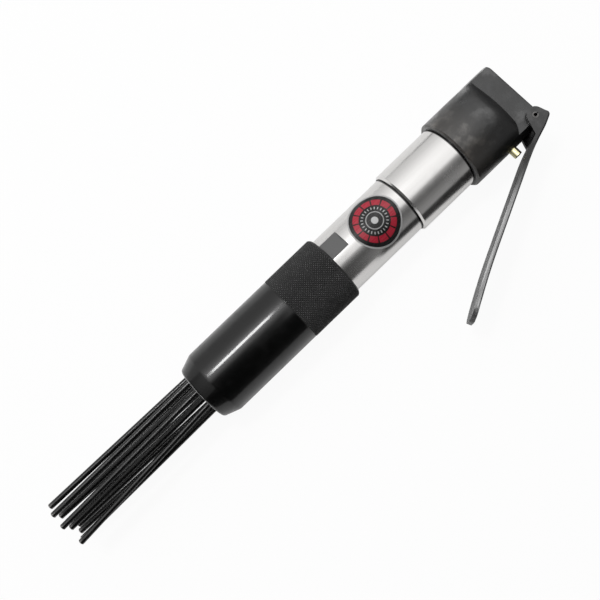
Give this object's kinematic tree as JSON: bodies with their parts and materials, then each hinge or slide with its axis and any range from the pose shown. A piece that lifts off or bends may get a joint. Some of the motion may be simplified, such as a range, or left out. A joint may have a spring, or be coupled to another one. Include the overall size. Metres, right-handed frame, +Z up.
{
  "type": "needle scaler",
  "caption": "Straight air needle scaler: squeeze-lever throttle head, exhaust sleeve, barrel with a sliding hammer, and a knurled nose that guides a bundle of loose steel needles.",
  "frame": {"origin": "centre of the air inlet's mouth, in the rear face of the throttle head", "axes": "+X along the tool towards the needles, +Y towards the squeeze lever, +Z up when the tool lies on its side"},
  "size_m": [0.3059, 0.0872, 0.04],
  "materials": {
    "cast_black": "semi-matte black coating on a smooth casting",
    "bright_steel": "polished, with fine turning lines",
    "bright_sleeve": "polished thin tube",
    "black_oxide": "glossy black oxide, matte on the knurl",
    "lever_steel": "dark grey pressed steel, worn edges",
    "pin_steel": "plain rolled spring steel",
    "stem_brass": "turned brass",
    "plug_steel": "zinc plated",
    "needle_steel": "dark drawn wire, bright at the worn tips",
    "tool_steel": "ground",
    "spring_steel": "oiled spring wire",
    "seal_rubber": "oil resistant rubber",
    "label_film": "printed film, plain bands, no words"
  },
  "bodies": {
    "tool_body": {"throttle_housing": "cast_black", "inlet_screen": "stem_brass", "stem_seal": "seal_rubber", "valve_spring": "spring_steel", "valve_plug": "plug_steel", "plug_seal": "seal_rubber", "lever_pin": "pin_steel", "chest_cap": "tool_steel", "chest_block": "tool_steel", "chest_dowel": "tool_steel", "barrel": "bright_steel", "barrel_seal": "seal_rubber", "exhaust_sleeve": "bright_sleeve", "round_label": "label_film", "nose_sleeve": "black_oxide", "return_spring": "spring_steel"},
    "lever": {"throttle_lever": "lever_steel"},
    "stem": {"valve_stem": "stem_brass", "valve_seal": "seal_rubber"},
    "air_plate": {"valve_plate": "tool_steel"},
    "hammer": {"piston": "tool_steel"},
    "striker": {"anvil": "tool_steel"},
    "needle_cup": {"needle_holder": "tool_steel"},
    "loose_needle_01": {"needle_01": "needle_steel"},
    "loose_needle_02": {"needle_02": "needle_steel"},
    "loose_needle_03": {"needle_03": "needle_steel"},
    "loose_needle_04": {"needle_04": "needle_steel"},
    "loose_needle_05": {"needle_05": "needle_steel"},
    "loose_needle_06": {"needle_06": "needle_steel"},
    "loose_needle_07": {"needle_07": "needle_steel"},
    "loose_needle_08": {"needle_08": "needle_steel"},
    "loose_needle_09": {"needle_09": "needle_steel"},
    "loose_needle_10": {"needle_10": "needle_steel"},
    "loose_needle_11": {"needle_11": "needle_steel"},
    "loose_needle_12": {"needle_12": "needle_steel"}
  },
  "joints": [
    {"name": "lever_squeeze", "type": "hinge", "parent": "tool_body", "child": "lever", "pos_m": [0.0035, 0.0166, 0], "axis": [0, 0, -1], "range_deg": [0, 17], "stiffness_Nm_per_rad": 0.6, "springref_deg": -11.46},
    {"name": "stem_push", "type": "slide", "parent": "tool_body", "child": "stem", "axis": [0, -1, 0], "range_m": [0, 0.003], "deforming": ["valve_spring"]},
    {"name": "plate_float", "type": "slide", "parent": "tool_body", "child": "air_plate", "axis": [1, 0, 0], "range_m": [-0.00025, 0.00025]},
    {"name": "hammer_stroke", "type": "slide", "parent": "tool_body", "child": "hammer", "axis": [1, 0, 0], "range_m": [0, 0.038]},
    {"name": "striker_slide", "type": "slide", "parent": "tool_body", "child": "striker", "axis": [1, 0, 0], "range_m": [0, 0.005], "stiffness_N_per_m": 3000, "springref_m": -0.005},
    {"name": "cup_slide", "type": "slide", "parent": "tool_body", "child": "needle_cup", "axis": [1, 0, 0], "range_m": [0, 0.005], "deforming": ["return_spring"]},
    {"name": "needle_01_float", "type": "slide", "parent": "needle_cup", "child": "loose_needle_01", "axis": [0.9997, 0.0229, 0.0093], "range_m": [0, 0.0015]},
    {"name": "needle_02_float", "type": "slide", "parent": "needle_cup", "child": "loose_needle_02", "axis": [0.9996, 0.01, 0.026], "range_m": [0, 0.0015]},
    {"name": "needle_03_float", "type": "slide", "parent": "needle_cup", "child": "loose_needle_03", "axis": [0.9995, -0.0105, 0.0304], "range_m": [0, 0.0015]},
    {"name": "needle_04_float", "type": "slide", "parent": "needle_cup", "child": "loose_needle_04", "axis": [0.9997, 0.0109, 0.0207], "range_m": [0, 0.0015]},
    {"name": "needle_05_float", "type": "slide", "parent": "needle_cup", "child": "loose_needle_05", "axis": [0.9993, -0.0371, 0.0012], "range_m": [0, 0.0015]},
    {"name": "needle_06_float", "type": "slide", "parent": "needle_cup", "child": "loose_needle_06", "axis": [0.9996, -0.0187, -0.0188], "range_m": [0, 0.0015]},
    {"name": "needle_07_float", "type": "slide", "parent": "needle_cup", "child": "loose_needle_07", "axis": [0.9995, -0.0249, -0.018], "range_m": [0, 0.0015]},
    {"name": "needle_08_float", "type": "slide", "parent": "needle_cup", "child": "loose_needle_08", "axis": [0.9996, 0.0079, -0.0272], "range_m": [0, 0.0015]},
    {"name": "needle_09_float", "type": "slide", "parent": "needle_cup", "child": "loose_needle_09", "axis": [0.9983, 0.0539, -0.0236], "range_m": [0, 0.0015]},
    {"name": "needle_10_float", "type": "slide", "parent": "needle_cup", "child": "loose_needle_10", "axis": [1, 0.005, -0.0047], "range_m": [0, 0.0015]},
    {"name": "needle_11_float", "type": "slide", "parent": "needle_cup", "child": "loose_needle_11", "axis": [0.9999, -0.008, 0.0122], "range_m": [0, 0.0015]},
    {"name": "needle_12_float", "type": "slide", "parent": "needle_cup", "child": "loose_needle_12", "axis": [0.9998, -0.0161, -0.0075], "range_m": [0, 0.0015]}
  ],
  "couplings": [
    {"joint": "stem_push", "follows": "lever_squeeze", "m_per_rad": 0.010111},
    {"joint": "cup_slide", "follows": "striker_slide", "ratio": 1}
  ]
}
